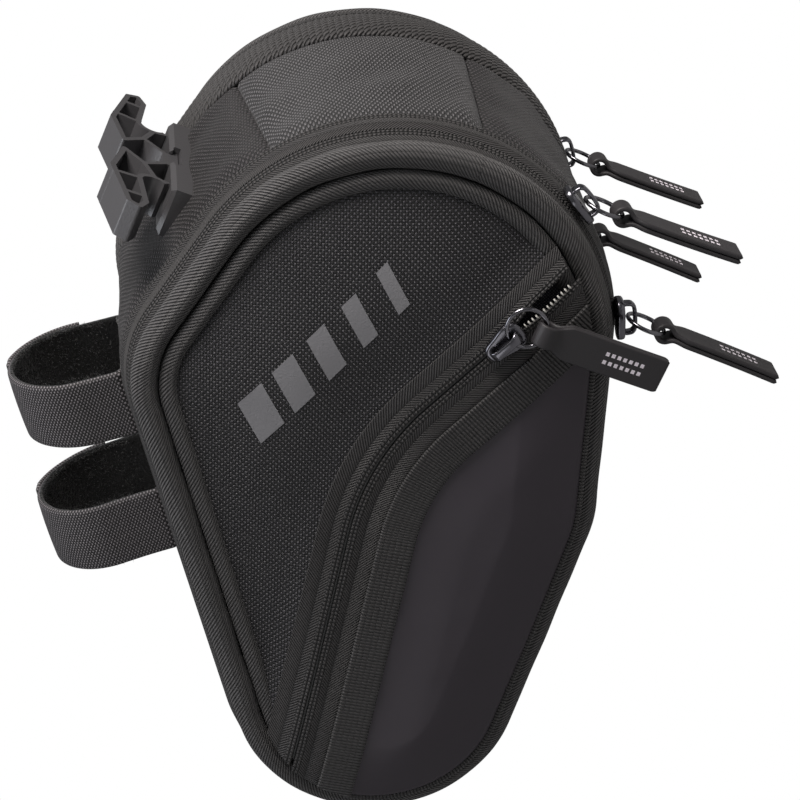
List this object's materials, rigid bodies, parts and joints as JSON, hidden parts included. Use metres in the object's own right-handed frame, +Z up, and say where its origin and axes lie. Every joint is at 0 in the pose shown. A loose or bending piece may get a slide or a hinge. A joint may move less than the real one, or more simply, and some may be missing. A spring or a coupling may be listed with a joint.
{
  "type": "bicycle saddle bag",
  "caption": "Under-saddle wedge bag with two zipped lids, a zipped outer pocket, a slide-off rail clip and two hook-and-loop seatpost straps.",
  "frame": {"origin": "midway between the two saddle rails at the middle of the rail clip", "axes": "+X rearward along the rails, +Z up, the lid with the pocket faces -Y"},
  "size_m": [0.203, 0.1376, 0.1958],
  "materials": {
    "backing_plastic": "plain moulded plate",
    "ballistic_nylon": "coarse 2 by 2 woven nylon, matt",
    "clip_plastic": "moulded glass-filled nylon, fine spark texture",
    "coated_fabric": "smooth coated panel, satin",
    "grosgrain": "cross-ribbed binding tape",
    "gusset_nylon": "grey-black woven nylon",
    "lining": "plain lining over foam",
    "pull_rubber": "moulded strip",
    "ribbed_nylon": "ribbed woven band",
    "rim_nylon": "diagonal-rib woven covering over a moulded roll",
    "ring_wire": "dark plated wire",
    "screw_steel": "zinc plated",
    "slider_metal": "gunmetal plating, glossy",
    "strap_webbing": "hook-and-loop strap, fuzzy inside",
    "zip_coil": "nylon coil",
    "zip_tape": "herringbone tape"
  },
  "bodies": {
    "bag": {"back_body_coil": "zip_coil", "back_body_tape": "zip_tape", "clip_shoe": "clip_plastic", "divider_panel": "lining", "front_body_coil": "zip_coil", "front_body_tape": "zip_tape", "gusset_band": "ribbed_nylon", "gusset_belly": "gusset_nylon", "gusset_flank": "gusset_nylon", "gusset_nose": "gusset_nylon", "gusset_rear": "gusset_nylon", "gusset_top": "gusset_nylon", "shoe_backing": "backing_plastic", "shoe_screws": "screw_steel", "strap_anchor_lower": "strap_webbing", "strap_anchor_upper": "strap_webbing", "strap_lower": "strap_webbing", "strap_tab_lower": "strap_webbing", "strap_tab_upper": "strap_webbing", "strap_upper": "strap_webbing"},
    "front_lid": {"front_lid_tape": "zip_tape", "front_lid_coil": "zip_coil", "front_rim_roll": "rim_nylon", "front_inner_roll": "rim_nylon", "front_lid_backing": "lining", "front_face": "ballistic_nylon", "pocket_backing": "lining", "pocket_wall": "ribbed_nylon", "pocket_upper_tape": "zip_tape", "pocket_lower_tape": "zip_tape", "pocket_binding": "grosgrain", "pocket_panel": "coated_fabric", "pocket_coil": "zip_coil"},
    "back_lid": {"back_lid_tape": "zip_tape", "back_lid_coil": "zip_coil", "back_rim_roll": "rim_nylon", "back_inner_roll": "rim_nylon", "back_lid_backing": "lining", "back_face": "ballistic_nylon"},
    "clip": {"rail_clip": "clip_plastic"},
    "slider_front_upper": {"slider_front_upper": "slider_metal"},
    "ring_front_upper": {"ring_front_upper": "ring_wire"},
    "pull_front_upper": {"pull_front_upper": "pull_rubber"},
    "slider_front_lower": {"slider_front_lower": "slider_metal"},
    "ring_front_lower": {"ring_front_lower": "ring_wire"},
    "pull_front_lower": {"pull_front_lower": "pull_rubber"},
    "slider_back_upper": {"slider_back_upper": "slider_metal"},
    "ring_back_upper": {"ring_back_upper": "ring_wire"},
    "pull_back_upper": {"pull_back_upper": "pull_rubber"},
    "slider_back_lower": {"slider_back_lower": "slider_metal"},
    "ring_back_lower": {"ring_back_lower": "ring_wire"},
    "pull_back_lower": {"pull_back_lower": "pull_rubber"},
    "slider_pocket": {"slider_pocket": "slider_metal"},
    "ring_pocket": {"ring_pocket": "ring_wire"},
    "pull_pocket": {"pull_pocket": "pull_rubber"}
  },
  "joints": [
    {"name": "front_lid_open", "type": "hinge", "parent": "bag", "child": "front_lid", "pos_m": [-0.14266, -0.052, -0.12315], "axis": [0.3517, 0, -0.9361], "range_deg": [0, 75]},
    {"name": "back_lid_open", "type": "hinge", "parent": "bag", "child": "back_lid", "pos_m": [-0.14266, 0.052, -0.12315], "axis": [-0.3517, 0, 0.9361], "range_deg": [0, 75]},
    {"name": "clip_slide", "type": "slide", "parent": "bag", "child": "clip", "axis": [1, 0, 0], "range_m": [0, 0.03]},
    {"name": "front_upper_zip_travel", "type": "hinge", "parent": "bag", "child": "slider_front_upper", "pos_m": [-0.004, -0.052, -0.0715], "axis": [0, -1, 0], "range_deg": [0, 90]},
    {"name": "front_upper_ring_swing", "type": "hinge", "parent": "slider_front_upper", "child": "ring_front_upper", "pos_m": [0.05177, -0.052, -0.1037], "axis": [0, -1, 0], "range_deg": [-15, 105]},
    {"name": "front_upper_pull_swing", "type": "hinge", "parent": "ring_front_upper", "child": "pull_front_upper", "pos_m": [0.05177, -0.052, -0.1145], "axis": [0, -1, 0], "range_deg": [-15, 35]},
    {"name": "front_lower_zip_travel", "type": "hinge", "parent": "bag", "child": "slider_front_lower", "pos_m": [-0.004, -0.052, -0.0715], "axis": [0, -1, 0], "range_deg": [0, 14]},
    {"name": "front_lower_ring_swing", "type": "hinge", "parent": "slider_front_lower", "child": "ring_front_lower", "pos_m": [0.02524, -0.052, -0.12888], "axis": [0, -1, 0], "range_deg": [-30, 28]},
    {"name": "front_lower_pull_swing", "type": "hinge", "parent": "ring_front_lower", "child": "pull_front_lower", "pos_m": [0.02524, -0.052, -0.13968], "axis": [0, -1, 0], "range_deg": [-30, 30]},
    {"name": "back_upper_zip_travel", "type": "hinge", "parent": "bag", "child": "slider_back_upper", "pos_m": [-0.004, 0.052, -0.0715], "axis": [0, -1, 0], "range_deg": [0, 110]},
    {"name": "back_upper_ring_swing", "type": "hinge", "parent": "slider_back_upper", "child": "ring_back_upper", "pos_m": [0.03385, 0.052, -0.1236], "axis": [0, -1, 0], "range_deg": [-20, 90]},
    {"name": "back_upper_pull_swing", "type": "hinge", "parent": "ring_back_upper", "child": "pull_back_upper", "pos_m": [0.03385, 0.052, -0.1344], "axis": [0, -1, 0], "range_deg": [-20, 30]},
    {"name": "back_lower_zip_travel", "type": "slide", "parent": "bag", "child": "slider_back_lower", "axis": [-0.9414, 0, -0.3372], "range_m": [0, 0.03]},
    {"name": "back_lower_ring_swing", "type": "hinge", "parent": "slider_back_lower", "child": "ring_back_lower", "pos_m": [0.01301, 0.052, -0.13381], "axis": [0, -1, 0], "range_deg": [-40, 20]},
    {"name": "back_lower_pull_swing", "type": "hinge", "parent": "ring_back_lower", "child": "pull_back_lower", "pos_m": [0.01301, 0.052, -0.14461], "axis": [0, -1, 0], "range_deg": [-25, 25]},
    {"name": "pocket_zip_travel", "type": "slide", "parent": "front_lid", "child": "slider_pocket", "axis": [-0.9093, 0, 0.4162], "range_m": [-0.02, 0.024]},
    {"name": "pocket_ring_swing", "type": "hinge", "parent": "slider_pocket", "child": "ring_pocket", "pos_m": [0.01428, -0.0714, -0.09614], "axis": [-0.4162, 0, -0.9093], "range_deg": [0, 100]},
    {"name": "pocket_pull_swing", "type": "hinge", "parent": "ring_pocket", "child": "pull_pocket", "pos_m": [0.01919, -0.0714, -0.10379], "axis": [-1, 0, 0], "range_deg": [0, 80]}
  ]
}
